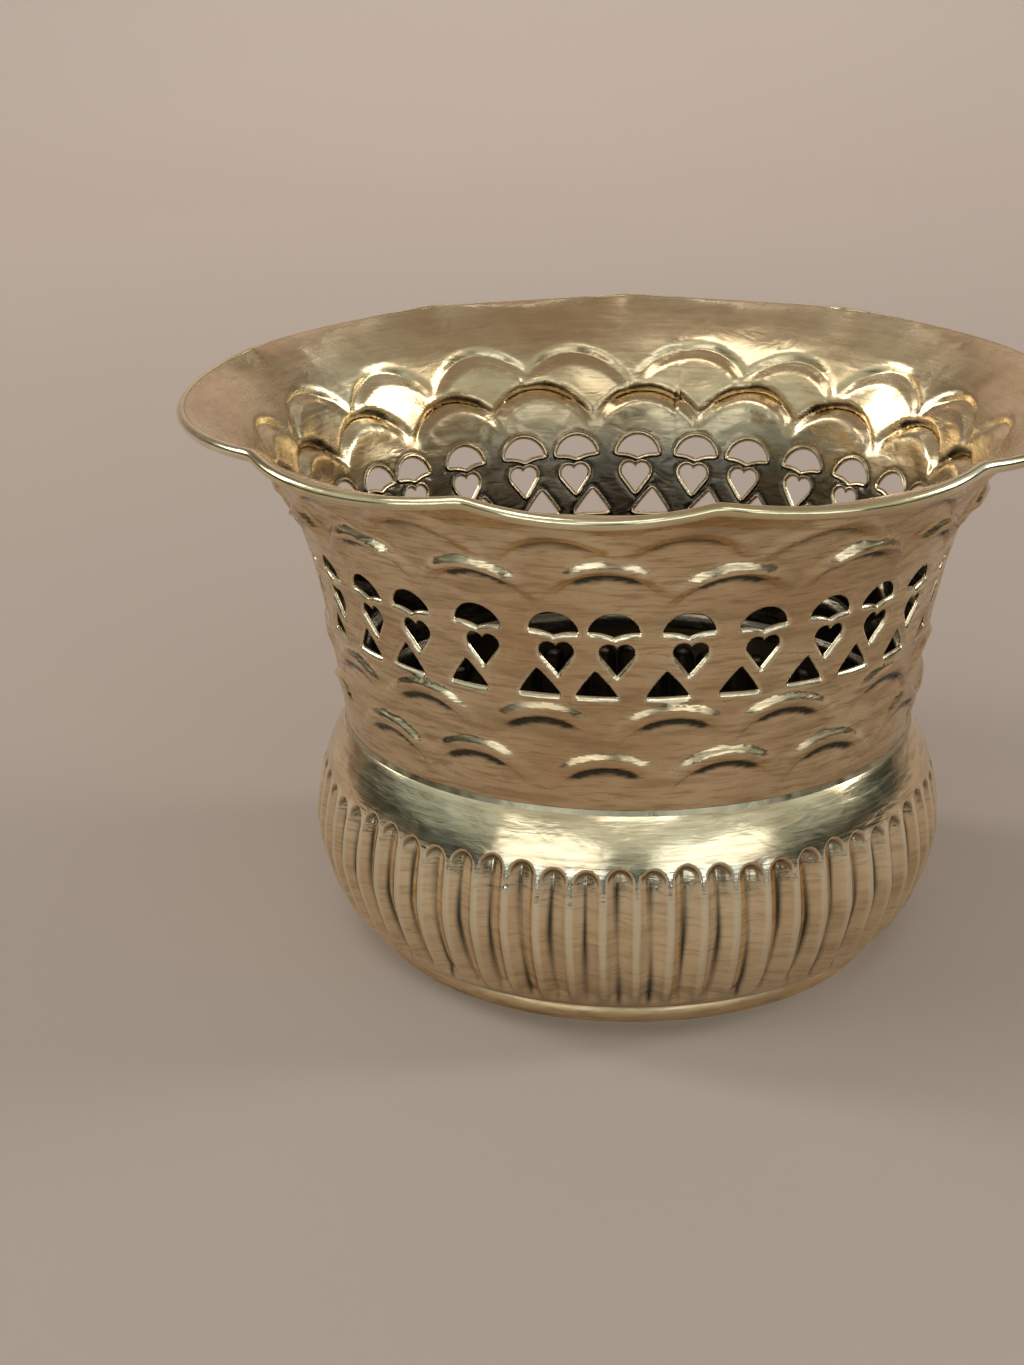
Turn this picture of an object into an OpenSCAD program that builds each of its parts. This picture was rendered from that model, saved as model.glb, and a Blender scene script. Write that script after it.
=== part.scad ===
// Pierced brass planter: a flared, scalloped collar on a gadrooned bowl with a foot ring.
// Millimetres. +Z up, origin on the resting plane, on the axis of revolution.

/* [Bowl] */
// Radius of the bowl at its widest
bulge_r = 65; // [60:0.5:72]
// Height of the widest point
bulge_z = 23.3; // [20:0.1:27]
// Radius where the bowl meets the collar
waist_r = 58.1; // [54:0.1:59]
// Height of the joint between the bowl and the collar
waist_z = 46.2; // [42:0.1:50]
// Thickness of the brass sheet
sheet = 0.9; // [0.7:0.05:1.2]

/* [Foot] */
// Radius of the crease between the foot and the bowl
crease_r = 51.9; // [48:0.1:53]
// Height of the foot ring
foot_h = 3.9; // [3:0.1:6]
// How far the foot ring's belly stands out past the crease
foot_belly = 1.2; // [0.6:0.1:2]
// Wall of the foot ring at its belly
foot_wall = 2.1; // [1.6:0.1:3]

/* [Collar] */
// Straight part of the flare from waist to rim
flare_even = 8.5; // [6:0.1:11]
// Part of the flare that comes on towards the rim
flare_late = 15.4; // [12:0.1:18]
// Height at which the flare would end if the rim were plain
flare_z = 113; // [110:0.5:116]
// Height at which the wavy lip starts
lip_z = 103; // [98:0.5:104]

/* [Rim] */
// Radius of the sheet's edge in the middle of a lobe
lobe_r = 87.5; // [84:0.1:90]
// Height of the sheet's edge in the middle of a lobe
lobe_z = 111.8; // [108:0.1:113]
// Radius of the sheet's edge at a cusp
cusp_r = 84.3; // [78:0.1:86]
// Height of the sheet's edge at a cusp
cusp_z = 113.2; // [110:0.1:115]
// How much lower the edge is at the front than at the sides, and how much higher at the back
rim_lean = 1.6; // [0:0.1:2]
// Radius of the rolled edge
bead_r = 1.2; // [1.1:0.05:1.5]
// Radius of the wire inside the rolled edge
wire_r = 0.62; // [0.5:0.01:0.63]

/* [Piercing] */
// Motifs in the pierced band
motif_count = 30; // [24:1:32]
// Height of the flat side of the triangles
triangle_z = 70; // [68:0.1:72]
// Width of a triangle
triangle_w = 8.2; // [6:0.1:9]
// Height of a triangle
triangle_h = 5; // [4:0.1:5]
// Height of the hearts' tips
heart_z = 74.3; // [73.6:0.1:75]
// Width of a heart
heart_w = 6.4; // [5:0.1:7]
// Height of the ends of the half moons
moon_z = 83; // [82:0.1:84]
// Width of a half moon
moon_w = 9.4; // [8:0.1:10]
// Height of a half moon above its ends
moon_h = 3.7; // [3:0.1:5]
// Depth of the point under a half moon
moon_drop = 0.9; // [0.5:0.1:1.5]

/* [Hidden] */
$fn = 96;

// Azimuths run anticlockwise from +X, in degrees, and the front is -Y.
front = -90;
// Azimuths of the nine cusps from the front: the edge was pinched by hand, so they are uneven
cusps = [7, 43, 92, 142, 177, 209, 247, 305, 338];
lobes = len(cusps);
// The stamps of the pierced band were set by eye, and this is how far each landed off its place
stamp_drift = [0, 0, 0.4, 0.9, -0.1, 0, 0.7, -0.2, 1.1, 2.2];
// First half moon's azimuth from the front, and how far the heart and triangle below sit round
first_motif = -5.1;
heart_shift = 0.4;
triangle_shift = -3;

// A heart's shoulder radius and the height of its centre, as shares of its width
heart_shoulder = 0.265;
heart_rise = 0.72;
heart_steps = 7;

// Shape of the bowl: powers of the curves below and above the widest point
belly_n = 1.25;
belly_m = 0.4;
shoulder_n = 0.9;
bowl_steps = 22;
seam_step = 0.5;

// Rows and columns of the collar and its wavy lip
wall_steps = 18;
lip_rows = 7;
lip_step = 0.16;
lobe_steps = 10;
rings = lobes * lobe_steps;
// Slope of the sheet at its edge, in degrees above level
lobe_slope = 8;
cusp_slope = 48;
// How strongly the lip holds its direction at each end
lip_start_pull = 15;
lip_end_pull = 15;

// The collar's skirt slips inside the bowl's mouth by this much
skirt_h = 3;
// The rolled edge is a strip bent round from the top of the sheet to its underside
roll_from = 90;
roll_to = -185;
roll_steps = 10;
roll_inner_r = 0.66;
wire_sides = 8;
cutter_l = 12;
// A half moon's lower edge: where its two scallops sag, as shares of its width and of the point
scallop_at = 1 / 6;
scallop_sag = 0.35;
moon_steps = 14;

// The foot ring's outer side, as shares of its height and of its belly
foot_curve = [[0, 0.6], [0.15, 0.9], [0.35, 1], [0.6, 0.9], [0.85, 0.5], [1, 0]];
foot_inner_r = crease_r + foot_belly - foot_wall;
fillet = 1.2;

// --- profiles: functions of height, giving the outer radius ---

function belly_r(z) =
    let (v = (z - foot_h) / (bulge_z - foot_h))
    crease_r + (bulge_r - crease_r) * pow(1 - pow(1 - v, belly_n), belly_m);

function shoulder_r(z) =
    let (w = (z - bulge_z) / (waist_z - bulge_z))
    waist_r + (bulge_r - waist_r) * pow(1 - w * w, shoulder_n);

function bowl_r(z) = z < bulge_z ? belly_r(z) : shoulder_r(z);

function collar_r(z) =
    let (v = (z - waist_z) / (flare_z - waist_z))
    waist_r + flare_even * v + flare_late * pow(v, 4);

function collar_slope(z) =
    let (v = (z - waist_z) / (flare_z - waist_z))
    (flare_even + 4 * flare_late * pow(v, 3)) / (flare_z - waist_z);

// --- offsets: the inner side of a sheet whose outer side is a line of [radius, height] points ---

function unit(v) = v / norm(v);

function tangent(line, i) =
    unit(line[min(i + 1, len(line) - 1)] - line[max(i - 1, 0)]);

function inward(line, t) =
    [for (i = [0 : len(line) - 1])
        line[i] + t * [-tangent(line, i)[1], tangent(line, i)[0]]];

function reversed(line) = [for (i = [len(line) - 1 : -1 : 0]) line[i]];

// --- the wavy rim ---

// Angle from one cusp to the next
function gap_after(i) = (cusps[(i + 1) % lobes] - cusps[i] + 360) % 360;

// One lobe's edge is an arc through both its cusps and its middle
function lobe_centre(half) =
    (pow(lobe_r, 2) - pow(cusp_r, 2)) / (2 * (lobe_r - cusp_r * cos(half)));

function edge_r(i, u) =
    let (half = gap_after(i) / 2, c = lobe_centre(half), d = (2 * u - 1) * half)
    c * cos(d) + sqrt(pow(lobe_r - c, 2) - pow(c * sin(d), 2));

function pinch(i, u) = (lobe_r - edge_r(i, u)) / (lobe_r - cusp_r);
function edge_z(i, u) =
    lobe_z + (cusp_z - lobe_z) * pinch(i, u) - rim_lean * cos(azimuth(i, u) - front);
function edge_slope(i, u) = lobe_slope + (cusp_slope - lobe_slope) * pinch(i, u);
function azimuth(i, u) = front + cusps[i] + gap_after(i) * u;

// The lip's outer side at one azimuth: a cubic from the collar to the sheet's edge
function lip_point(i, u, t) =
    let (p0 = [collar_r(lip_z), lip_z],
         p3 = [edge_r(i, u), edge_z(i, u)],
         s = edge_slope(i, u),
         m0 = lip_start_pull * unit([collar_slope(lip_z), 1]),
         m1 = lip_end_pull * [cos(s), sin(s)])
    (2 * t * t * t - 3 * t * t + 1) * p0 + (t * t * t - 2 * t * t + t) * m0
    + (3 * t * t - 2 * t * t * t) * p3 + (t * t * t - t * t) * m1;

function lip_line(i, u) = [for (k = [0 : lip_rows]) lip_point(i, u, k / lip_rows)];

// Outer side upwards, then inner side downwards; its level lower edge stands just inside the wall's
function lip_section(i, u) =
    let (outer = lip_line(i, u), inner = inward(outer, sheet))
    concat([outer[0] - [lip_step, 0]], [for (k = [1 : lip_rows]) outer[k]],
           [for (k = [lip_rows : -1 : 1]) inner[k]], [wall_top_inner() + [lip_step, 0]]);

function wall_top_inner() =
    [collar_r(lip_z) - sheet * norm([1, collar_slope(lip_z)]), lip_z];

// Centre of the rolled edge, and its outward and upward directions
function roll_out(i, u) = [cos(edge_slope(i, u)), sin(edge_slope(i, u))];
function roll_up(i, u) = [-sin(edge_slope(i, u)), cos(edge_slope(i, u))];
function roll_centre(i, u) =
    [edge_r(i, u), edge_z(i, u)] + (sheet - bead_r) * roll_up(i, u);

function round_point(i, u, r, a) =
    roll_centre(i, u) + r * cos(a) * roll_out(i, u) + r * sin(a) * roll_up(i, u);

function roll_angle(k) = roll_from + (roll_to - roll_from) * k / roll_steps;

function roll_section(i, u) =
    concat([for (k = [0 : roll_steps]) round_point(i, u, bead_r, roll_angle(k))],
           [for (k = [roll_steps : -1 : 0]) round_point(i, u, roll_inner_r, roll_angle(k))]);

function wire_section(i, u) =
    [for (k = [0 : wire_sides - 1]) round_point(i, u, wire_r, -360 * k / wire_sides)];

// --- a closed ring swept round the axis from one section for each azimuth ---

function ring_index(n) = [floor(n / lobe_steps), (n % lobe_steps) / lobe_steps];

function on_azimuth(p, a) = [p[0] * cos(a), p[0] * sin(a), p[1]];

module wavy_ring(sections) {
    n = len(sections[0]);
    points = [for (j = [0 : rings - 1], p = sections[j])
        on_azimuth(p, azimuth(ring_index(j)[0], ring_index(j)[1]))];
    faces = [for (j = [0 : rings - 1], k = [0 : n - 1], half = [0, 1])
        let (j2 = (j + 1) % rings, k2 = (k + 1) % n,
             a = j * n + k, b = j * n + k2, c = j2 * n + k2, d = j2 * n + k)
        half == 0 ? [a, b, c] : [a, c, d]];
    polyhedron(points = points, faces = faces, convexity = 12);
}

// --- pierced shapes, drawn flat with Y up the wall ---

module triangle_shape() {
    polygon([[-triangle_w / 2, 0], [triangle_w / 2, 0], [0, triangle_h]]);
}

// Right half of a heart: from where the straight side meets the round shoulder to the notch
function heart_half() =
    let (shoulder = heart_w * heart_shoulder,
         centre = [heart_w / 2 - shoulder, heart_w * heart_rise],
         from_a = atan2(centre[1], centre[0]) - asin(shoulder / norm(centre)) - 90,
         to_a = acos(-centre[0] / shoulder))
    [for (k = [0 : heart_steps])
        let (a = from_a + (to_a - from_a) * k / heart_steps)
        centre + shoulder * [cos(a), sin(a)]];

module heart_shape() {
    right = heart_half();
    left = [for (k = [heart_steps - 1 : -1 : 0]) [-right[k][0], right[k][1]]];
    polygon(concat([[0, 0]], right, left));
}

// Upper edge of a half moon, from its right end to its left
function moon_bow() =
    let (half = moon_w / 2,
         bow_r = (pow(half, 2) + pow(moon_h, 2)) / (2 * moon_h),
         reach = asin(half / bow_r))
    [for (k = [0 : moon_steps])
        let (a = reach * (1 - 2 * k / moon_steps))
        [bow_r * sin(a), moon_h - bow_r + bow_r * cos(a)]];

module moon_shape() {
    sag = [moon_w * scallop_at, -moon_drop * scallop_sag];
    polygon(concat(moon_bow(), [[-sag[0], sag[1]], [0, -moon_drop], sag]));
}

module through_wall(az, z) {
    rotate([0, 0, front + az])
        translate([collar_r(z) - cutter_l / 2, 0, z])
            rotate([90, 0, 90])
                linear_extrude(height = cutter_l) children();
}

module piercings() {
    for (i = [0 : motif_count - 1]) {
        az = first_motif + 360 * i / motif_count + stamp_drift[i % len(stamp_drift)];
        through_wall(az, moon_z) moon_shape();
        through_wall(az + heart_shift, heart_z) heart_shape();
        through_wall(az + triangle_shift, triangle_z) triangle_shape();
    }
}

// --- sub-parts ---

module collar_wall() {
    outer = [for (k = [0 : wall_steps])
        let (z = waist_z + (lip_z - waist_z) * k / wall_steps) [collar_r(z), z]];
    inner = inward(outer, sheet);
    inside = [for (k = [wall_steps - 1 : -1 : 1]) inner[k]];
    skirt_r = waist_r - sheet;
    rotate_extrude()
        polygon(concat(
            [[skirt_r - sheet, waist_z - skirt_h], [skirt_r, waist_z - skirt_h],
             [skirt_r, waist_z]],
            outer,
            [wall_top_inner()],
            inside,
            [[skirt_r - sheet, waist_z]]));
}

module pierced_collar() {
    color("#c9a878") {
        difference() {
            collar_wall();
            piercings();
        }
        wavy_ring([for (j = [0 : rings - 1])
            lip_section(ring_index(j)[0], ring_index(j)[1])]);
    }
}

module rim_roll() {
    color("#d8c48a")
        wavy_ring([for (j = [0 : rings - 1])
            roll_section(ring_index(j)[0], ring_index(j)[1])]);
}

module rim_wire() {
    color("#b08d4a")
        wavy_ring([for (j = [0 : rings - 1])
            wire_section(ring_index(j)[0], ring_index(j)[1])]);
}

function bowl_heights() =
    concat([for (k = [0 : bowl_steps])
                foot_h + (bulge_z - foot_h) * pow(k / bowl_steps, 2)],
           [for (k = [1 : bowl_steps])
                bulge_z + (waist_z - seam_step - bulge_z) * k / bowl_steps],
           [waist_z]);

module gadrooned_bowl() {
    outer = [for (z = bowl_heights()) [bowl_r(z), z]];
    inner = inward(outer, sheet);
    floor_z = foot_h + sheet;
    color("#c8ab72")
        rotate_extrude()
            polygon(concat(
                [[0, foot_h]],
                outer,
                [[waist_r - sheet, waist_z]],
                reversed([for (p = inner) if (p[1] > floor_z && p[1] < waist_z - seam_step) p]),
                [[0, floor_z]]));
}

module foot_ring() {
    color("#d9a860")
        rotate_extrude()
            polygon(concat(
                [[foot_inner_r, 0]],
                [for (p = foot_curve) [crease_r + foot_belly * p[1], foot_h * p[0]]],
                [[foot_inner_r, foot_h]]));
}

module waist_solder() {
    top = waist_z + seam_step;
    low = waist_z - seam_step;
    color("#b9b7a4")
        rotate_extrude()
            polygon([[waist_r, waist_z], [bowl_r(low), low], [collar_r(top), top]]);
}

module foot_solder() {
    color("#b9b7a4")
        rotate_extrude()
            polygon([[foot_inner_r, foot_h], [foot_inner_r - fillet, foot_h],
                     [foot_inner_r, foot_h - fillet]]);
}

pierced_collar();
rim_roll();
rim_wire();
gadrooned_bowl();
foot_ring();
waist_solder();
foot_solder();
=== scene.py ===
"""Pierced brass planter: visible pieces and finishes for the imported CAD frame.

Shapes are worked out in millimetres and scaled to metres when a mesh is made. Azimuths are in
degrees, measured from the front (-Y), and grow towards +X.
"""
import math

import bpy
import numpy as np
from mathutils import Matrix, Vector, geometry


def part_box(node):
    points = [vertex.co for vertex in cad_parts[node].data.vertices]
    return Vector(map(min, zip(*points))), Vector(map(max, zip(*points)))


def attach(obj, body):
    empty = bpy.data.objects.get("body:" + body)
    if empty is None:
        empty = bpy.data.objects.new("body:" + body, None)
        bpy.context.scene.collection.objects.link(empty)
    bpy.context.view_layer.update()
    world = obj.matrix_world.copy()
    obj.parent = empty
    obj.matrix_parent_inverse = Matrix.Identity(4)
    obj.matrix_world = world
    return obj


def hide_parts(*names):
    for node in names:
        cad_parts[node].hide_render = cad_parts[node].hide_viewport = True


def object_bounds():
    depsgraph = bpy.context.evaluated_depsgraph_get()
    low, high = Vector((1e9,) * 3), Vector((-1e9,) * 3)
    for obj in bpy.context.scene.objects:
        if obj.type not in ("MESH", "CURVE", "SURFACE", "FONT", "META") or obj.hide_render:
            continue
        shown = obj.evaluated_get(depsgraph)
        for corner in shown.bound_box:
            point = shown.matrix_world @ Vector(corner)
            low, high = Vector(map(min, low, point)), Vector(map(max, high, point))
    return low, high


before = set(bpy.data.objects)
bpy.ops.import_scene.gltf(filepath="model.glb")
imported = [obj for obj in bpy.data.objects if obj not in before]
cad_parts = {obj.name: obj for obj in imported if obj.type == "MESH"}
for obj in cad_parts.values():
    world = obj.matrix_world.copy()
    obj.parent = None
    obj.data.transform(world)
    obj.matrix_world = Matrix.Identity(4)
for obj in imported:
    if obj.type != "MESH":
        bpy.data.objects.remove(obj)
CAD_LOW, CAD_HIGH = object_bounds()
MM = 0.001
RNG = np.random.default_rng(7)


def node_low(node):
    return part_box(node)[0] / MM


def node_high(node):
    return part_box(node)[1] / MM


# ---------------------------------------------------------------- dimensions, mm and degrees
FOOT_H = node_high("foot_ring").z
FOOT_R = node_high("foot_ring").x
FOOT_BELLY = 1.2
CREASE_R = FOOT_R - FOOT_BELLY
BULGE_R = node_high("gadrooned_bowl").x
BULGE_Z = 23.3
WAIST_Z = node_high("gadrooned_bowl").z
WAIST_R = 58.1
SHEET = 0.9
SKIRT_Z = node_low("pierced_collar").z

# The flare of the collar, and the height at which its wavy lip starts
FLARE_EVEN, FLARE_LATE, FLARE_Z, LIP_Z = 8.5, 15.4, 113.0, 103.0
LIP_LENGTH = 15.0
LIP_END = LIP_Z + LIP_LENGTH
LIP_PULL = 15.0
LOBE_R, LOBE_Z, LOBE_SLOPE = 87.5, 111.8, 8.0
CUSP_R, CUSP_Z, CUSP_SLOPE = 84.3, 113.2, 48.0
# The rim leans: this much lower at the front than at the sides, and higher at the back
RIM_LEAN = 1.6
# Azimuths of the cusps between the lip's lobes
CUSPS = np.array([7.0, 43.0, 92.0, 142.0, 177.0, 209.0, 247.0, 305.0, 338.0])
# The rolled edge: its radii, and the angles between which it curls from the sheet's upper side
BEAD_R, ROLL_INNER_R = 1.2, 0.66
ROLL_FROM, ROLL_TO, ROLL_STEPS = 97, -185, 26

# Resolution of the sheets
COLLAR_COLUMNS = 900
ROW_STEP = 0.5
BAND_LOW, BAND_HIGH = 68.5, 89.0
# The sheet is cut open between two motifs at the back, then joined again
SEAM_AZ = 167.65
# Width of one degree in the plane where the pierced band is drawn flat
FLAT = BULGE_R * math.pi / 180
# Points nearer than this to a border lie on it
TOUCH = 1e-4


def smooth(t):
    t = np.clip(t, 0.0, 1.0)
    return t * t * (3 - 2 * t)


# ---------------------------------------------------------------- profiles
def collar_radius(y):
    v = (y - WAIST_Z) / (FLARE_Z - WAIST_Z)
    tuck = SHEET * smooth((WAIST_Z + 0.5 - y) / 0.9)
    return WAIST_R + FLARE_EVEN * v + FLARE_LATE * np.clip(v, 0, 2) ** 4 - tuck


def belly_radius(z):
    v = np.clip((z - FOOT_H) / (BULGE_Z - FOOT_H), 0, 1)
    return CREASE_R + (BULGE_R - CREASE_R) * (1 - (1 - v) ** 1.25) ** 0.4


def shoulder_radius(z):
    w = np.clip((z - BULGE_Z) / (WAIST_Z - BULGE_Z), 0, 1)
    return WAIST_R + (BULGE_R - WAIST_R) * (1 - w * w) ** 0.9


def bowl_radius(z):
    return np.where(z < BULGE_Z, belly_radius(z), shoulder_radius(z))


def lobed_edge():
    """Edge radius for each tenth of a degree: arcs through the cusps, softened a little at each."""
    az = np.arange(3600) / 10.0
    i = (np.searchsorted(CUSPS, az, side="right") - 1) % len(CUSPS)
    gap = (np.roll(CUSPS, -1) - CUSPS) % 360
    half = gap[i] / 2
    off = (az - CUSPS[i]) % 360 - half
    c = (LOBE_R**2 - CUSP_R**2) / (2 * (LOBE_R - CUSP_R * np.cos(np.radians(half))))
    a = np.radians(off)
    r = c * np.cos(a) + np.sqrt((LOBE_R - c) ** 2 - (c * np.sin(a)) ** 2)
    k = np.exp(-((np.arange(-30, 31) / 11.0) ** 2))
    return np.convolve(np.r_[r[-30:], r, r[:30]], k / k.sum(), "valid")


EDGE_TABLE = lobed_edge()


def edge_radius(az):
    return np.interp(np.mod(az, 360), np.arange(3601) / 10.0, np.r_[EDGE_TABLE, EDGE_TABLE[0]])


def pinch(az):
    return (LOBE_R - edge_radius(az)) / (LOBE_R - CUSP_R)


def edge_height(az):
    return LOBE_Z + (CUSP_Z - LOBE_Z) * pinch(az) - RIM_LEAN * np.cos(np.radians(az))


def edge_slope(az):
    return np.radians(LOBE_SLOPE + (CUSP_SLOPE - LOBE_SLOPE) * pinch(az))


def collar_profile(az, y):
    """Radius and height of the collar's outer side; past LIP_Z y runs out along the wavy lip."""
    t = np.clip((y - LIP_Z) / LIP_LENGTH, 0, 1)
    r0 = collar_radius(LIP_Z)
    rise = collar_radius(LIP_Z) - collar_radius(LIP_Z - 0.1)
    n = math.hypot(rise, 0.1)
    h0, h1 = 2 * t**3 - 3 * t**2 + 1, t**3 - 2 * t**2 + t
    h2, h3 = 3 * t**2 - 2 * t**3, t**3 - t**2
    s = edge_slope(az)
    r = h0 * r0 + h1 * LIP_PULL * rise / n + h2 * edge_radius(az) + h3 * LIP_PULL * np.cos(s)
    z = h0 * LIP_Z + h1 * LIP_PULL * 0.1 / n + h2 * edge_height(az) + h3 * LIP_PULL * np.sin(s)
    wall = y <= LIP_Z
    return np.where(wall, collar_radius(y), r), np.where(wall, y, z)


def place(az, r, z):
    a = np.radians(az)
    return np.stack([r * np.sin(a), -r * np.cos(a), z], -1)


def surface(profile, az, y):
    """Points and outward normals of a surface given by profile(az, y) -> radius, height."""
    e_az, e_y = 0.05, 0.02
    p = place(az, *profile(az, y))
    across = place(az + e_az, *profile(az + e_az, y)) - place(az - e_az, *profile(az - e_az, y))
    up = place(az, *profile(az, y + e_y)) - place(az, *profile(az, y - e_y))
    n = np.cross(across, up)
    return p, n / np.linalg.norm(n, axis=-1, keepdims=True)


WAVES = 14


def waves(p, size, seed):
    """Smooth random unevenness, mostly within 1, from sine waves in random directions."""
    rng = np.random.default_rng(seed)
    out = np.zeros(len(p))
    for _ in range(WAVES):
        d = rng.normal(size=3)
        d *= 2 * math.pi / (size * rng.uniform(0.7, 1.6)) / np.linalg.norm(d)
        out += np.sin(p @ d + rng.uniform(0, 2 * math.pi))
    return out / 5.3


# ---------------------------------------------------------------- stamped scales
# Each row from the waist up: count, azimuth of one, height of its top, radius, width of the
# rising flank, lift, share of the lift lost before the fall, strength of the painted shade line
SCALE_ROWS = [
    (16, -7.6, 59.3, 16.0, 1.7, 0.95, 0.35, 1.8),
    (16, 4.5, 69.0, 16.0, 1.7, 0.95, 0.35, 1.8),
    (18, -6.6, 98.4, 15.5, 1.5, 1.75, 0.7, 2.2),
    (18, 5.8, 106.2, 17.0, 1.6, 0.9, 0.5, 0.6),
]
RIB_WIDTH = 4.0
LINE_WIDTH = 0.85


def rib(depth, rise, lift, ease):
    """Height across a rib at a depth below its upper edge: a bright flank, a fall, a hollow."""
    flank = 0.5 * smooth(depth / rise) + 0.5 * np.clip(depth / rise, 0, 1)
    fall = smooth((depth - RIB_WIDTH + LINE_WIDTH) / LINE_WIDTH)
    easing = 1 - ease * smooth((depth - rise) / (RIB_WIDTH - rise - LINE_WIDTH))
    hollow = 0.3 * fall * smooth((RIB_WIDTH + 4.5 - depth) / 4.5)
    return lift * (flank * easing * (1 - fall) - hollow)


def scales(az, y, r):
    """Lift in mm, and a mark for the painted shade of the dark line beneath each rib."""
    lift = np.zeros(len(az))
    dark = np.zeros(len(az))
    for row, (count, first, top, arch_r, rise, amount, ease, line_shade_strength) in enumerate(SCALE_ROWS):
        pitch = 360.0 / count
        near = np.round((az - first) / pitch)
        for side in (-1, 0, 1):
            k = near + side
            drift = 1.0 * np.sin(k * 2.4 + row * 1.7)
            tilt = 0.06 * np.sin(k * 1.3 + row)
            dx = np.radians(az - first - k * pitch - drift) * r
            dy = y - (top + 0.5 * np.sin(k * 3.1 + row) - arch_r) - tilt * dx
            rho = np.hypot(dx, dy)
            lean = np.degrees(np.abs(np.arctan2(dx, dy)))
            depth = arch_r - rho
            keep = 1 - 0.5 * smooth((lean - 26) / 14) - 0.5 * smooth((lean - 42) / 24)
            uneven = 1 + 0.15 * np.sin(k * 1.9 + row)
            inside_arch = (depth > -0.2) & (depth < RIB_WIDTH + 4.5) & (dy > 0)
            part = np.where(inside_arch, keep * rib(depth, rise, amount * uneven, ease), 0)
            lift = np.where(np.abs(part) > np.abs(lift), part, lift)
            # Painted shade: a dark line along the hollow beneath each rib, thinner towards its ends
            taper = 1 - smooth((lean - 22) / 14)
            line = np.exp(-(((depth - RIB_WIDTH) / (0.32 + 0.5 * taper)) ** 4)) * taper
            dark = np.maximum(dark, np.where(inside_arch, np.minimum(line_shade_strength * line, 1), 0))
    return lift, dark


# ---------------------------------------------------------------- pierced shapes
MOTIFS = 30
FIRST_MOTIF = -5.1
STAMP_DRIFT = [0, 0, 0.4, 0.9, -0.1, 0, 0.7, -0.2, 1.1, 2.2]
TRIANGLE_Z, HEART_Z, MOON_Z = 70.0, 74.3, 83.0
LIP_RINGS = (0.22, 0.5, 0.85, 1.25, 1.7)
LIP_REACH = 2.0


def dense(points, step=0.33):
    """The closed outline with points about every step mm."""
    out = []
    for a, b in zip(points, np.roll(points, -1, axis=0)):
        n = max(1, int(round(np.linalg.norm(b - a) / step)))
        out += [a + (b - a) * k / n for k in range(n)]
    return np.array(out)


def bowed(a, b, bow, steps=8):
    """Points from a up to, not including, b along a shallow arc."""
    n = np.array([b[1] - a[1], a[0] - b[0]]) / np.linalg.norm(b - a)
    t = np.arange(steps) / steps
    return a + np.outer(t, b - a) + np.outer(4 * t * (1 - t) * bow, n)


def triangle_outline():
    a, b, c = np.array([-4.1, 0.0]), np.array([4.1, 0.0]), np.array([-0.25, 5.0])
    raw = np.vstack([bowed(a, b, 0.05), bowed(b, c, 0.12), bowed(c, a, 0.12)])
    return dense(raw)


def heart_outline():
    width, share, rise = 6.4, 0.265, 0.72
    s = width * share
    centre = np.array([width / 2 - s, width * rise])
    start = math.atan2(centre[1], centre[0]) - math.asin(s / np.linalg.norm(centre)) - math.pi / 2
    end = math.acos(-centre[0] / s)
    a = np.linspace(start, end, 14)
    right = centre + s * np.stack([np.cos(a), np.sin(a)], -1)
    left = right[-2::-1] * [-1, 1]
    return dense(np.vstack([[[0.0, 0.0]], right, left]))


def moon_outline():
    w, h, drop = 9.4, 3.7, 0.9
    bow_r = ((w / 2) ** 2 + h * h) / (2 * h)
    reach = math.asin(w / 2 / bow_r)
    a = np.linspace(reach, -reach, 22)
    top = np.stack([bow_r * np.sin(a), h - bow_r + bow_r * np.cos(a)], -1)
    left, right, tip = top[-1], top[0], np.array([0.0, -drop])
    below = np.vstack([bowed(left, tip, -0.3), bowed(tip, right, -0.3)])
    return dense(np.vstack([top[:-1], below]))


def stamps():
    """Every hole as (azimuth, height, closed outline in the flat plane), a little uneven each."""
    out = []
    for i in range(MOTIFS):
        az = FIRST_MOTIF + 360.0 * i / MOTIFS + STAMP_DRIFT[i % len(STAMP_DRIFT)]
        for shift, z, outline in ((0.0, MOON_Z, moon_outline()), (0.4, HEART_Z, heart_outline()),
                                  (-3.0, TRIANGLE_Z, triangle_outline())):
            turn = math.radians(RNG.normal(0, 1.6))
            size = 1 + RNG.normal(0, 0.015)
            spin = np.array([[math.cos(turn), math.sin(turn)], [-math.sin(turn), math.cos(turn)]])
            x0 = ((az + shift - SEAM_AZ) % 360) * FLAT
            out.append(outline @ spin * size + [x0, z])
    return out


def inside(points, outline):
    x, y = points[:, :1], points[:, 1:]
    x1, y1 = outline[:, 0], outline[:, 1]
    x2, y2 = np.roll(x1, -1), np.roll(y1, -1)
    span = (y1 > y) != (y2 > y)
    with np.errstate(divide="ignore", invalid="ignore"):
        cross = x < (x2 - x1) * (y - y1) / (y2 - y1) + x1
    return (span & cross).sum(1) % 2 == 1


def distance(points, outline):
    a = outline
    d = np.roll(outline, -1, axis=0) - a
    v = points[:, None, :] - a
    t = np.clip((v * d).sum(-1) / (d * d).sum(-1), 0, 1)
    return np.linalg.norm(v - t[..., None] * d, axis=-1).min(1)


def hole_distance(points, outlines):
    """Signed distance to the nearest hole, negative inside, for points of the flat plane."""
    best = np.full(len(points), 99.0)
    for outline in outlines:
        lo, hi = outline.min(0) - LIP_REACH, outline.max(0) + LIP_REACH
        near = np.flatnonzero(((points > lo) & (points < hi)).all(1))
        if len(near):
            d = distance(points[near], outline)
            d[inside(points[near], outline)] *= -1
            best[near] = np.minimum(best[near], d)
    return best


def hole_lip(d):
    """Lift beside a hole: a slight swell, then the edge turned in by the punch."""
    d = np.clip(d, 0, LIP_REACH)
    return 0.16 * np.exp(-(((d - 1.05) / 0.42) ** 2)) - 0.6 * np.clip(1 - d / 0.75, 0, 1) ** 2


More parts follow.
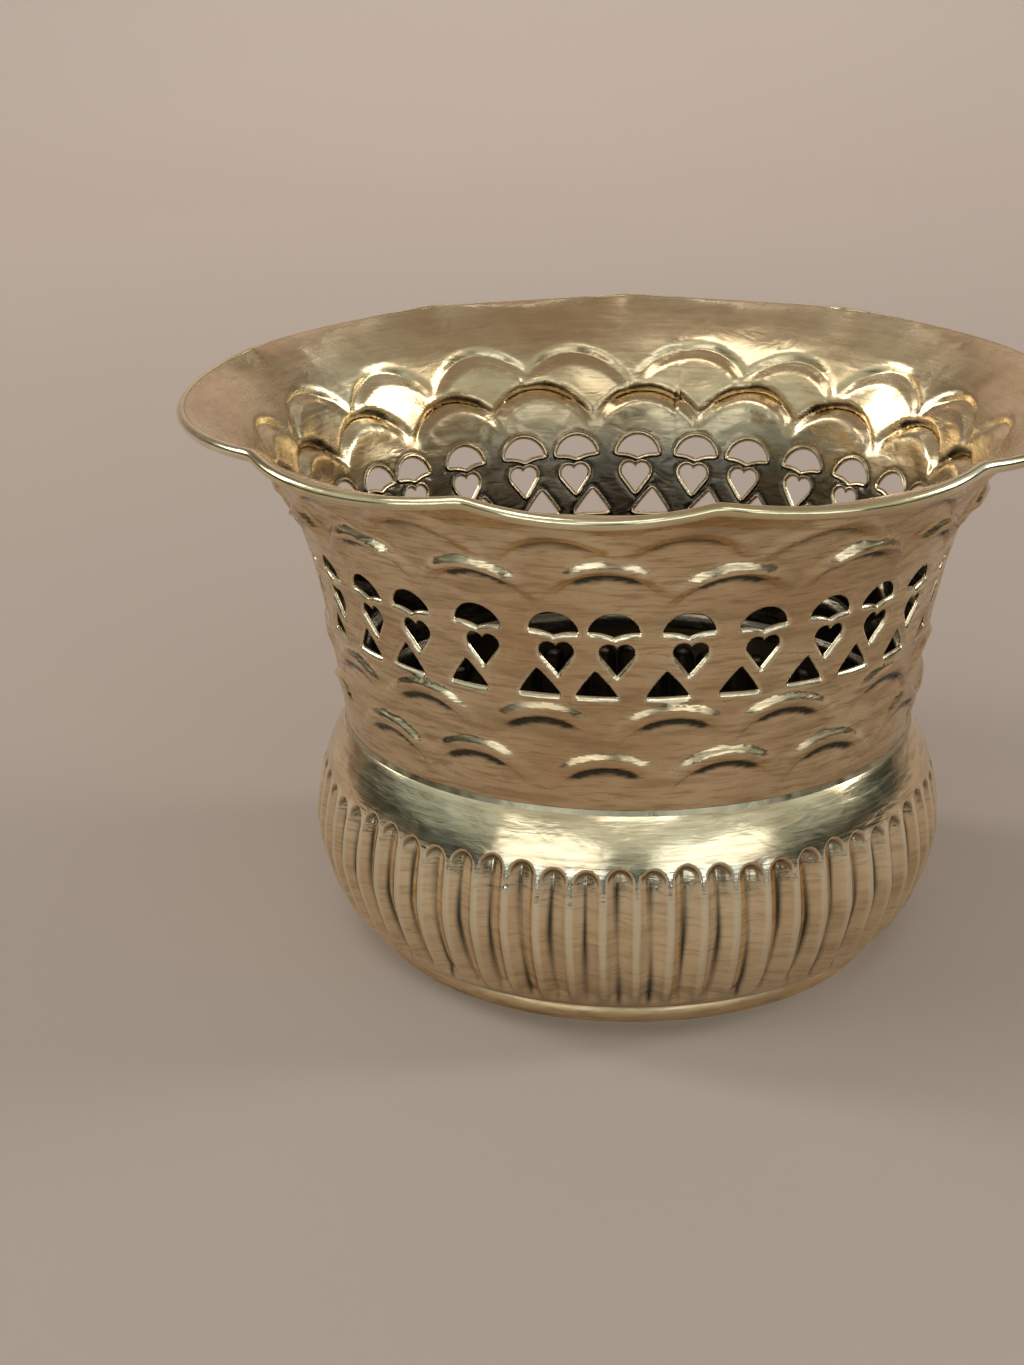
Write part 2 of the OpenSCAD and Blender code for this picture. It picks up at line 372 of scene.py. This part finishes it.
def band_grid(outlines, width):
    """Regular points of the band: its two edge rows whole, the rest only clear of the holes."""
    columns = np.arange(COLLAR_COLUMNS + 1) * (width / COLLAR_COLUMNS)
    rows = np.arange(BAND_LOW, BAND_HIGH + 1e-6, ROW_STEP)
    edge_rows = [np.array([[x, y] for x in columns]) for y in (rows[0], rows[-1])]
    grid = np.array([[x, y] for y in rows[1:-1] for x in columns])
    border = (grid[:, 0] == columns[0]) | (grid[:, 0] == columns[-1])
    clear = hole_distance(grid, outlines) > LIP_RINGS[-1] + 0.15
    return edge_rows + [grid[border | clear]]


def lip_rings(outlines, width):
    """Points on rings round every hole, where they keep clear of the other holes and the ends."""
    rings = []
    for outline in outlines:
        along = np.roll(outline, -1, axis=0) - np.roll(outline, 1, axis=0)
        n = np.stack([along[:, 1], -along[:, 0]], -1)
        n /= np.linalg.norm(n, axis=1, keepdims=True)
        if inside(outline[3:4] + n[3:4] * 0.05, outline)[0]:
            n = -n
        for d in LIP_RINGS:
            ring = outline + n * d
            rings.append(ring[np.abs(distance(ring, outline) - d) < 0.12 * d])
    rings = np.vstack(rings)
    own = np.abs(hole_distance(rings, outlines))
    return rings[(own > 0.15) & (rings[:, 0] > 0.2) & (rings[:, 0] < width - 0.2)]


def hole_edges(outlines, start):
    """Pairs of point numbers along each outline; the first outline's points begin at start."""
    edges = []
    for outline in outlines:
        n = len(outline)
        edges += [(start + k, start + (k + 1) % n) for k in range(n)]
        start += n
    return edges


def pierced_band(width):
    """Flat triangulation of the pierced band: points (x, y), triangles and the holes' outlines."""
    outlines = stamps()
    points = np.vstack(band_grid(outlines, width) + [lip_rings(outlines, width)])
    edges = hole_edges(outlines, len(points))
    points = np.vstack([points] + outlines)
    made = geometry.delaunay_2d_cdt([Vector(p) for p in points], edges, [], 0, 1e-5)
    flat = np.array([v[:] for v in made[0]])
    tris = np.array(made[2])
    # Slivers along the band's straight borders are left out with the holes
    wide = np.ptp(flat[tris][:, :, 0], axis=1) > 3
    keep = ~wide & (hole_distance(flat[tris].mean(1), outlines) > 0)
    return flat, tris[keep], outlines


# ---------------------------------------------------------------- meshes
def make_mesh(name, points, faces, material, replaced, marks=None):
    """A smooth-shaded piece from points in mm and a list of face arrays."""
    mesh = bpy.data.meshes.new(name)
    corners = np.concatenate([f.ravel() for f in faces]).astype(np.int32)
    sizes = np.concatenate([np.full(len(f), f.shape[1]) for f in faces]).astype(np.int32)
    mesh.vertices.add(len(points))
    mesh.vertices.foreach_set("co", (points * MM).astype(np.float32).ravel())
    mesh.loops.add(len(corners))
    mesh.loops.foreach_set("vertex_index", corners)
    mesh.polygons.add(len(sizes))
    starts = np.concatenate([[0], np.cumsum(sizes)[:-1]]).astype(np.int32)
    mesh.polygons.foreach_set("loop_start", starts)
    mesh.polygons.foreach_set("use_smooth", np.ones(len(sizes), bool))
    mesh.update(calc_edges=True)
    mesh.validate()
    for key, values in (marks or {}).items():
        mark = mesh.attributes.new(key, "FLOAT", "POINT")
        mark.data.foreach_set("value", values.astype(np.float32))
    piece = bpy.data.objects.new(name, mesh)
    bpy.context.scene.collection.objects.link(piece)
    mesh.materials.append(material)
    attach(piece, "root")
    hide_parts(*replaced)
    return piece


def ring_quads(rows, columns, first=0):
    """Quads between successive closed rows of points, wound to face outwards."""
    j, i = np.meshgrid(np.arange(rows - 1), np.arange(columns), indexing="ij")
    a = first + j * columns + i
    b = first + j * columns + (i + 1) % columns
    return np.stack([a, b, b + columns, a + columns], -1).reshape(-1, 4)


def thicken(piece, thickness, inner):
    """Gives the sheet its thickness, with a darker brass on the inner side that paints shade there.
    """
    piece.data.materials.append(inner)
    solid = piece.modifiers.new("sheet", "SOLIDIFY")
    solid.thickness = thickness * MM
    solid.offset = -1
    solid.use_rim = True
    solid.use_even_offset = False
    solid.material_offset = 1
    return piece


def wall_rows():
    """Heights of the rows of quads below and above the pierced band."""
    low = np.linspace(SKIRT_Z, BAND_LOW, 1 + round((BAND_LOW - SKIRT_Z) / ROW_STEP))
    high = np.linspace(BAND_HIGH, LIP_END, 1 + round((LIP_END - BAND_HIGH) / ROW_STEP))
    return low, high


def weld(flat, width, first, low_border, high_border):
    """Point numbers for the band, which shares its borders with the walls and joins its ends."""
    index = np.arange(len(flat)) + first
    column = np.round(flat[:, 0] / width * COLLAR_COLUMNS).astype(int) % COLLAR_COLUMNS
    at_low = np.abs(flat[:, 1] - BAND_LOW) < TOUCH
    at_high = np.abs(flat[:, 1] - BAND_HIGH) < TOUCH
    index[at_low] = low_border + column[at_low]
    index[at_high] = high_border + column[at_high]
    between = ~at_low & ~at_high
    left = np.flatnonzero((flat[:, 0] < TOUCH) & between)
    right = np.flatnonzero((flat[:, 0] > width - TOUCH) & between)
    match = {round(flat[k, 1], 3): k for k in left}
    for k in right:
        index[k] = index[match[round(flat[k, 1], 3)]]
    return index


def emboss(points, az, y, gap):
    """Lift of the collar's points, with marks for painted shade in the dark lines and a painted
    highlight on the holes' lips.
    """
    lift, dark = scales(az, points[:, 2], np.hypot(points[:, 0], points[:, 1]))
    lift = lift * (1 - smooth((y - LIP_Z - 8) / 6)) + hole_lip(gap)
    lift = lift + 0.05 * waves(points, 9.0, 3) + 0.05 * waves(points, 24.0, 4)
    lift *= smooth((y - WAIST_Z) / 3.0) * smooth((LIP_END - y) / 1.5)
    # Painted highlight on the turned-in lips of the holes
    painted_highlight = np.exp(-((gap - 0.35) / 0.3) ** 2) * (gap < 2)
    return lift, dark, painted_highlight


def collar(material, inner):
    """The embossed and pierced sheet, from its skirt in the bowl's mouth to its wavy lip."""
    width = 360 * FLAT
    flat, tris, outlines = pierced_band(width)
    column_az = SEAM_AZ + np.arange(COLLAR_COLUMNS) * 360.0 / COLLAR_COLUMNS
    low_rows, high_rows = wall_rows()
    rows = np.concatenate([low_rows, high_rows])
    n_low, n_walls = len(low_rows) * COLLAR_COLUMNS, len(rows) * COLLAR_COLUMNS
    index = weld(flat, width, n_walls, n_low - COLLAR_COLUMNS, n_low)
    az = np.concatenate([np.tile(column_az, len(rows)), SEAM_AZ + flat[:, 0] / FLAT])
    y = np.concatenate([np.repeat(rows, COLLAR_COLUMNS), flat[:, 1]])
    points, normals = surface(collar_profile, az, y)
    plane = np.stack([np.mod(az - SEAM_AZ, 360) * FLAT, y], -1)
    gap = np.maximum(hole_distance(plane, outlines), 0)
    lift, dark, painted_highlight = emboss(points, az, y, gap)
    points = points + normals * lift[:, None]
    faces = [ring_quads(len(low_rows), COLLAR_COLUMNS),
             ring_quads(len(high_rows), COLLAR_COLUMNS, n_low), index[tris]]
    used = np.zeros(len(points), bool)
    for f in faces:
        used[f] = True
    new = np.cumsum(used) - 1
    piece = make_mesh("collar_sheet", points[used], [new[f] for f in faces], material,
                      ["pierced_collar"],
                      {"dark": dark[used], "painted_highlight": painted_highlight[used]})
    return thicken(piece, SHEET, inner)


def rim_roll(material):
    """The sheet's edge rolled under and round its wire."""
    az = SEAM_AZ + np.arange(COLLAR_COLUMNS) * 360.0 / COLLAR_COLUMNS
    s = edge_slope(az)
    r, z = edge_radius(az), edge_height(az)
    out = np.stack([np.cos(s), np.sin(s)])
    up = np.stack([-np.sin(s), np.cos(s)])
    mid = np.stack([r, z]) + (SHEET - BEAD_R) * up
    turn = np.radians(np.linspace(ROLL_FROM, ROLL_TO, ROLL_STEPS))
    ring = [(BEAD_R, a) for a in turn] + [(ROLL_INNER_R, a) for a in turn[::-2]]
    points = []
    for radius, a in ring:
        p = mid + radius * (math.cos(a) * out + math.sin(a) * up)
        points.append(place(az, p[0], p[1]))
    base = np.array(points)
    dents = 1 + 0.02 * waves(base[0], 7.0, 5)
    centre = place(az, mid[0], mid[1])
    base = centre + (base - centre) * np.minimum(dents, 1)[None, :, None]
    rows = len(ring)
    quads = ring_quads(rows, COLLAR_COLUMNS)
    i = np.arange(COLLAR_COLUMNS)
    j = (i + 1) % COLLAR_COLUMNS
    last = (rows - 1) * COLLAR_COLUMNS
    closing = np.stack([last + i, last + j, j, i], -1)
    faces = np.vstack([quads, closing])[:, ::-1]
    return make_mesh("rolled_rim", base.reshape(-1, 3), [faces], material,
                     ["rim_roll"])


# ---------------------------------------------------------------- bowl
FLUTES = 64
FLUTE_AZ = 1.7
FLUTE_LOW, FLUTE_TOP = 5.6, 37.0
FLUTE_DEPTH = 1.15
# How far a channel's round top falls towards its sides, and the groove pressed along its middle
FLUTE_ARCH, GROOVE_DEPTH = 3.2, 0.3
# Half the width of a channel, as a share of half the pitch; the rest is the ridge between
CHANNEL = 0.83
BOWL_COLUMNS = FLUTES * 20


def bowl_line():
    """Heights of the bowl's rows, close together at the crease and at the tops of the flutes."""
    low = FOOT_H + (BULGE_Z - FOOT_H) * np.linspace(0, 1, 34) ** 1.9
    tops = np.linspace(31, 38.5, 36)
    return np.concatenate([low, np.linspace(BULGE_Z, 31, 14)[1:-1], tops,
                           np.linspace(38.5, WAIST_Z, 18)[1:]])


def flutes(az, z):
    """Depth of the channels with round tops, a mark for shade painted in their hollows, one for a
    highlight painted on the ridges.
    """
    pitch = 360.0 / FLUTES
    k = np.round((az - FLUTE_AZ) / pitch)
    u = (az - FLUTE_AZ - k * pitch) / pitch * 2
    c = np.clip(np.abs(u) / CHANNEL, 0, 1)
    across = (1 - c**2.2) ** 0.95
    top = FLUTE_TOP + 0.6 * np.sin(k * 1.3) - FLUTE_ARCH * (1 - np.sqrt(1 - np.clip(c, 0, 0.98) ** 2))
    end = smooth((top - z) / 0.9)
    foot_end = smooth((z - FLUTE_LOW - 0.5 * np.sin(k * 2.9)) / 3.0)
    strength = 1 + 0.12 * np.sin(k * 1.7 + 0.4)
    wander = 0.07 * np.sin(0.13 * z + k * 2.3) - 0.14
    thick = 0.16 + 0.05 * np.sin(0.22 * z + k * 1.9)
    broken = 0.7 + 0.3 * np.sin(0.2 * z + 4.0 * np.sin(k * 1.1))
    # Painted shade along the hollow of each channel
    dark = np.exp(-(((u - wander) / thick) ** 2)) * broken * smooth((top - 1.2 - z) / 3)
    # Painted shade under the step at each channel's arched top
    arch = np.exp(-(((top - z - 0.75) / 0.55) ** 2)) * smooth((1 - c) / 0.2)
    dark = np.maximum(dark * smooth((z - FLUTE_LOW) / 2), 0.75 * arch)
    # Painted highlight along the ridges between the channels
    ridge = smooth((c - 0.9) / 0.1) * smooth((z - 8) / 14) * smooth((FLUTE_TOP + 1 - z) / 2)
    groove = GROOVE_DEPTH * np.exp(-(((u - wander) / 0.2) ** 2))
    return FLUTE_DEPTH * strength * (across + groove) * end * foot_end, dark, ridge


def bowl(material, inner):
    """The fluted bowl with its smooth shoulder and its flat floor."""
    az_line = np.arange(BOWL_COLUMNS) * 360.0 / BOWL_COLUMNS
    z_line = bowl_line()
    az, z = np.tile(az_line, len(z_line)), np.repeat(z_line, BOWL_COLUMNS)
    points, normals = surface(lambda a, h: (bowl_radius(h), h), az, z)
    depth, dark, ridge = flutes(az, z)
    uneven = 0.10 * waves(points, 22.0, 8) + 0.03 * waves(points, 7.0, 9)
    uneven = (uneven - 0.15) * smooth((z - FOOT_H) / 3) * smooth((WAIST_Z - z) / 3)
    points = points + normals * (np.minimum(uneven, 0) - depth)[:, None]
    rings = np.linspace(CREASE_R, 1.5, 40)[1:]
    floor = np.concatenate([place(az_line, np.full(BOWL_COLUMNS, r), np.full(BOWL_COLUMNS, FOOT_H))
                            for r in rings[::-1]])
    points = np.vstack([floor, points])
    still = np.zeros(len(floor))
    quads = ring_quads(len(rings) + len(z_line), BOWL_COLUMNS)
    cap = np.arange(BOWL_COLUMNS)[::-1][None, :]
    marks = {"dark": np.concatenate([still, dark]), "painted_highlight": np.concatenate([still, ridge])}
    piece = make_mesh("fluted_bowl", points, [quads, cap], material,
                      ["gadrooned_bowl"], marks)
    return thicken(piece, SHEET, inner)


def foot(material):
    """The plain band under the bowl, its belly a smooth curve."""
    columns = 360
    az = np.arange(columns) * 360.0 / columns
    belly = FOOT_R - CREASE_R
    t = np.linspace(0, 1, 22)
    outer_z = FOOT_H * t
    outer_r = CREASE_R + belly * (1 - np.abs(2 * (t - 0.36) / 1.28) ** 2.4)
    outer_r[-1] = CREASE_R
    inner_r = CREASE_R - 0.9
    line = [(inner_r, 0.25), (inner_r + 0.25, 0.0)] + list(zip(outer_r, outer_z))
    line.append((inner_r, FOOT_H))
    points = []
    for r, z in line:
        uneven = 0.06 * waves(place(az, np.full(columns, r), np.full(columns, z)), 30.0, 11)
        points.append(place(az, r + np.minimum(uneven, 0), np.full(columns, z)))
    rows = len(line)
    faces = ring_quads(rows, columns)
    i = np.arange(columns)
    j = (i + 1) % columns
    closing = np.stack([(rows - 1) * columns + i, (rows - 1) * columns + j, j, i], -1)
    return make_mesh("foot_band", np.vstack(points), [np.vstack([faces, closing])], material,
                     ["foot_ring"])


# ---------------------------------------------------------------- materials
class Nodes:
    """Short calls for building a material's node tree."""

    def __init__(self, name):
        self.material = bpy.data.materials.new(name)
        self.material.use_nodes = True
        self.tree = self.material.node_tree
        self.shader = next(n for n in self.tree.nodes if n.type == "BSDF_PRINCIPLED")

    def add(self, kind, **settings):
        node = self.tree.nodes.new(kind)
        for key, value in settings.items():
            setattr(node, key, value)
        return node

    def link(self, a, b):
        self.tree.links.new(a, b)

    def set(self, socket, value):
        if isinstance(value, (int, float, tuple)):
            socket.default_value = value
        else:
            self.link(value, socket)

    def math(self, operation, a, b=0.0):
        node = self.add("ShaderNodeMath", operation=operation)
        self.set(node.inputs[0], a)
        self.set(node.inputs[1], b)
        return node.outputs[0]

    def mix(self, factor, a, b):
        node = self.add("ShaderNodeMix", data_type="RGBA")
        self.set(node.inputs[0], factor)
        self.set(node.inputs[6], a)
        self.set(node.inputs[7], b)
        return node.outputs[2]

    def span(self, value, low, high, to_low, to_high):
        node = self.add("ShaderNodeMapRange")
        for socket, v in zip(node.inputs, (value, low, high, to_low, to_high)):
            self.set(socket, v)
        return node.outputs[0]

    def place(self):
        return self.add("ShaderNodeTexCoord").outputs["Object"]

    def height(self):
        split = self.add("ShaderNodeSeparateXYZ")
        self.link(self.place(), split.inputs[0])
        return split.outputs["Z"]

    def stretched(self, scale):
        node = self.add("ShaderNodeMapping")
        self.link(self.place(), node.inputs["Vector"])
        node.inputs["Scale"].default_value = scale
        return node.outputs[0]

    def noise(self, vector, scale, detail=3.0, distortion=0.0):
        node = self.add("ShaderNodeTexNoise")
        self.link(vector, node.inputs["Vector"])
        node.inputs["Scale"].default_value = scale
        node.inputs["Detail"].default_value = detail
        node.inputs["Distortion"].default_value = distortion
        return node.outputs["Fac"]

    def mark(self, name):
        return self.add("ShaderNodeAttribute", attribute_name=name).outputs["Fac"]

    def bump(self, height, distance, strength=1.0, normal=None):
        node = self.add("ShaderNodeBump")
        node.inputs["Distance"].default_value = distance
        node.inputs["Strength"].default_value = strength
        self.link(height, node.inputs["Height"])
        if normal is not None:
            self.link(normal, node.inputs["Normal"])
        return node.outputs[0]


# Colours for painted shade in hollows and in the depths, the brass's own smears, and a painted
# highlight
PAINTED_RECESS_SHADE = (0.04, 0.048, 0.042, 1.0)
PAINTED_SHADE_COLOUR = (0.13, 0.11, 0.085, 1.0)
SMUDGE = (0.42, 0.29, 0.16, 1.0)
PAINTED_HIGHLIGHT_COLOUR = (0.95, 0.88, 0.68, 1.0)


def streaked(m, light, deep, streaks, fine, brushed):
    """Patches between two tones, crossed by fine brushed streaks and by wider smears."""
    tone = m.noise(m.stretched((1, 1, 1)), 38.0, 4.0)
    smears = m.noise(m.stretched((50, 50, 330)), 1.0, 2.0, 0.8)
    colour = m.mix(m.span(tone, 0.35, 0.68, 0.0, 1.0), deep, light)
    colour = m.mix(m.span(fine, 0.45, 0.75, 0.0, 0.35 * streaks), colour, deep)
    colour = m.mix(m.span(smears, 0.48, 0.7, 0.0, 0.6 * streaks), colour, SMUDGE)
    return m.mix(m.span(brushed, 0.5, 0.66, 0.0, 0.65 * streaks), colour, SMUDGE)


def brass(name, light, deep, rough, streaks, ripples, dark=0.0, painted_highlight=0.0, shade=None):
    """Polished brass, its tone between light and deep.

    streaks and ripples scale the brushed marks and the unevenness, the next two say how strongly
    the mesh's marks paint shade (dark) and a highlight onto the metal, and shade gives the height in
    mm at which painted shade is full and the one at which it ends.
    """
    m = Nodes(name)
    fine = m.noise(m.stretched((60, 60, 1500)), 1.0, 3.0, 0.4)
    brushed = m.noise(m.stretched((170, 170, 1500)), 1.0, 3.0, 0.5)
    patches = m.noise(m.stretched((1, 1, 2.2)), 120.0, 2.0, 0.8)
    colour = streaked(m, light, deep, streaks, fine, brushed)
    # Painted shade where the mesh's dark mark is
    if dark:
        colour = m.mix(m.math("MULTIPLY", m.mark("dark"), dark), colour, PAINTED_RECESS_SHADE)
    # Painted highlight where the mesh's highlight mark is
    if painted_highlight:
        colour = m.mix(m.math("MULTIPLY", m.mark("painted_highlight"), painted_highlight), colour, PAINTED_HIGHLIGHT_COLOUR)
    # Painted shade, full at the first height and gone by the second
    if shade:
        colour = m.mix(m.span(m.height(), shade[0] * MM, shade[1] * MM, 1.0, 0.0), colour, PAINTED_SHADE_COLOUR)
    m.link(colour, m.shader.inputs["Base Color"])
    m.shader.inputs["Metallic"].default_value = 1.0
    gloss = m.span(fine, 0.3, 0.7, rough * 0.75, rough * (1 + 0.6 * streaks))
    dulled = m.math("ADD", gloss, m.span(patches, 0.4, 0.75, 0.0, 0.08))
    m.link(dulled, m.shader.inputs["Roughness"])
    normal = m.bump(patches, 0.00035 * ripples, 0.6)
    normal = m.bump(brushed, 0.00007 * streaks, 0.7, normal)
    m.link(normal, m.shader.inputs["Normal"])
    return m.material


def solder():
    """Dull, patchy filler metal."""
    m = Nodes("solder")
    patches = m.noise(m.stretched((1, 1, 1)), 260.0, 4.0)
    colour = m.mix(patches, (0.30, 0.24, 0.14, 1), (0.62, 0.56, 0.40, 1))
    m.link(colour, m.shader.inputs["Base Color"])
    m.shader.inputs["Metallic"].default_value = 1.0
    m.link(m.span(patches, 0.3, 0.7, 0.22, 0.5), m.shader.inputs["Roughness"])
    m.link(m.bump(patches, 0.0002), m.shader.inputs["Normal"])
    return m.material


def matte(name, colour, variation):
    """A plain surface, in soft patches up to the variation paler than the colour."""
    m = Nodes(name)
    cloud = m.noise(m.place(), 3.0, 3.0)
    paler = tuple(min(1.0, c * (1 + variation)) for c in colour[:3]) + (1.0,)
    m.link(m.mix(cloud, colour, paler), m.shader.inputs["Base Color"])
    m.shader.inputs["Roughness"].default_value = 0.9
    return m.material


# ---------------------------------------------------------------- stage, lights, camera
def backdrop(material):
    """A floor that curves up into a wall far behind the object."""
    depth, turn, height, half = 1.1, 0.6, 2.0, 3.0
    line = [(-4.0, 0.0), (depth, 0.0)]
    for k in range(1, 17):
        a = math.radians(90 * k / 16)
        line.append((depth + turn * math.sin(a), turn * (1 - math.cos(a))))
    line.append((depth + turn, height))
    verts = [(x, y, z) for y, z in line for x in (-half, half)]
    faces = [(2 * k, 2 * k + 1, 2 * k + 3, 2 * k + 2) for k in range(len(line) - 1)]
    mesh = bpy.data.meshes.new("backdrop")
    mesh.from_pydata(verts, [], faces)
    mesh.polygons.foreach_set("use_smooth", np.ones(len(faces), bool))
    mesh.materials.append(material)
    sweep = bpy.data.objects.new("backdrop", mesh)
    bpy.context.scene.collection.objects.link(sweep)
    sweep.location.z = CAD_LOW.z


def softbox(name, place_at, aim, size, power, colour):
    """A rectangular lamp, its size in metres and its power in watts."""
    light = bpy.data.lights.new(name, "AREA")
    light.shape = "RECTANGLE"
    light.size, light.size_y = size
    light.energy = power
    light.color = colour
    lamp = bpy.data.objects.new(name, light)
    lamp.location = place_at
    lamp.rotation_euler = (Vector(aim) - Vector(place_at)).to_track_quat("-Z", "Y").to_euler()
    bpy.context.scene.collection.objects.link(lamp)


def studio_world():
    """A dim room all round: dark green near the horizon, cool grey above it, warm grey overhead."""
    world = bpy.data.worlds.new("studio")
    world.use_nodes = True
    tree = world.node_tree
    place_at = tree.nodes.new("ShaderNodeTexCoord").outputs["Generated"]
    split = tree.nodes.new("ShaderNodeSeparateXYZ")
    tree.links.new(place_at, split.inputs[0])
    ramp = tree.nodes.new("ShaderNodeValToRGB")
    tree.links.new(split.outputs["Z"], ramp.inputs[0])
    stops = ((0.0, (0.05, 0.06, 0.05)), (0.14, (0.05, 0.06, 0.055)), (0.3, (0.38, 0.46, 0.44)),
             (0.5, (0.80, 0.90, 0.84)), (0.8, (0.50, 0.47, 0.41)), (1.0, (0.48, 0.39, 0.33)))
    ramp.color_ramp.elements[0].color = stops[0][1] + (1,)
    ramp.color_ramp.elements[1].color = stops[-1][1] + (1,)
    for at, colour in stops[1:-1]:
        ramp.color_ramp.elements.new(at).color = colour + (1,)
    tree.links.new(ramp.outputs[0], tree.nodes["Background"].inputs[0])
    tree.nodes["Background"].inputs[1].default_value = 0.72
    bpy.context.scene.world = world


def around(azimuth, elevation, distance):
    """A point seen from the object at an azimuth from the front and an elevation, in metres."""
    a, e = math.radians(azimuth), math.radians(elevation)
    middle = CAD_HIGH.z / 2
    flat = distance * math.cos(e)
    return (flat * math.sin(a), -flat * math.cos(a), middle + distance * math.sin(e))


def lights():
    middle = (0, 0, CAD_HIGH.z / 2)
    softbox("window_left", around(-30, 14, 1.2), middle, (0.78, 0.38), 1.6, (0.85, 0.94, 1.0))
    softbox("window_right", around(28, 14, 1.2), middle, (0.87, 0.36), 1.6, (0.85, 0.94, 1.0))
    softbox("window_high", around(2, 42, 1.3), middle, (0.6, 0.3), 1.0, (0.9, 0.97, 1.0))
    softbox("backdrop_light", (0, 1.0, 1.1), (0, 1.7, 0.35), (1.6, 0.4), 10, (1.0, 0.97, 0.95))
    softbox("overhead", around(-60, 62, 1.4), middle, (0.5, 0.5), 3, (1.0, 0.97, 0.92))
    softbox("side_right", around(95, 30, 1.3), middle, (0.25, 0.5), 4, (1.0, 0.97, 0.9))
    softbox("side_left", around(-110, 30, 1.3), middle, (0.25, 0.5), 4, (1.0, 0.97, 0.9))
    studio_world()


def camera():
    """Above the rim's level, a little rolled, looking down across the front."""
    tilt, roll, distance = math.radians(20.26), math.radians(-0.668), 0.48284
    aim_right, aim_up = -0.02375, 0.04756
    lens, sensor = 59.16, 36
    forward = Vector((0, math.cos(tilt), -math.sin(tilt)))
    right, up = Vector((1, 0, 0)), Vector((0, math.sin(tilt), math.cos(tilt)))
    eye = -forward * distance + right * aim_right + up * aim_up
    x_axis = math.cos(roll) * right + math.sin(roll) * up
    y_axis = -math.sin(roll) * right + math.cos(roll) * up
    turn = Matrix((x_axis, y_axis, -forward)).transposed().to_4x4()
    data = bpy.data.cameras.new("camera")
    data.sensor_width = sensor
    data.lens = lens
    data.clip_start = 0.01
    eye_object = bpy.data.objects.new("camera", data)
    eye_object.matrix_world = Matrix.Translation(eye) @ turn
    bpy.context.scene.collection.objects.link(eye_object)
    bpy.context.scene.camera = eye_object


def finishes():
    """The brass of every piece, and of the inner side of each sheet, by name."""
    kinds = (
        ("collar_brass", (0.84, 0.68, 0.44), (0.66, 0.47, 0.27), 0.18, 1.0, 1.0,
         {"dark": 0.95, "painted_highlight": 0.6}),
        # The collar's inner side, a darker copy of its brass with painted shade lower down
        ("collar_inside", (0.80, 0.66, 0.43), (0.62, 0.46, 0.27), 0.24, 0.35, 1.0,
         {"shade": (82, 96)}),
        ("bowl_brass", (0.93, 0.78, 0.53), (0.78, 0.59, 0.36), 0.15, 0.6, 0.5,
         {"dark": 1.0, "painted_highlight": 0.8}),
        # The bowl's inner side, a much darker copy of its brass with painted shade lower down
        ("bowl_inside", (0.70, 0.56, 0.36), (0.5, 0.36, 0.22), 0.3, 1.0, 0.5,
         {"shade": (60, 80)}),
        ("rim_brass", (0.88, 0.80, 0.56), (0.76, 0.64, 0.38), 0.14, 0.4, 0.2, {}),
        # Painted shade at the top of the foot band, where it meets the bowl
        ("foot_brass", (1.0, 0.77, 0.47), (0.90, 0.65, 0.37), 0.38, 0.6, 0.3,
         {"shade": (4.4, 2.6)}),
        ("wire_brass", (0.78, 0.58, 0.30), (0.6, 0.42, 0.2), 0.3, 0.5, 0.3, {}),
    )
    made = {}
    for name, light, deep, rough, streaks, ripples, extras in kinds:
        made[name] = brass(name, light + (1,), deep + (1,), rough, streaks, ripples, **extras)
    return made


def dress_nodes(materials):
    """Finishes for the frame's own nodes that stay visible."""
    for node, material in materials.items():
        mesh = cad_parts[node].data
        mesh.materials.clear()
        mesh.materials.append(material)


def main():
    camera()
    metal = finishes()
    solder_metal = solder()
    collar(metal["collar_brass"], metal["collar_inside"])
    rim_roll(metal["rim_brass"])
    bowl(metal["bowl_brass"], metal["bowl_inside"])
    foot(metal["foot_brass"])
    dress_nodes({"rim_wire": metal["wire_brass"], "waist_solder": solder_metal,
                 "foot_solder": solder_metal})
    backdrop(matte("backdrop", (0.44, 0.365, 0.32, 1), 0.08))
    lights()
    bpy.context.scene.view_settings.view_transform = "Standard"


main()
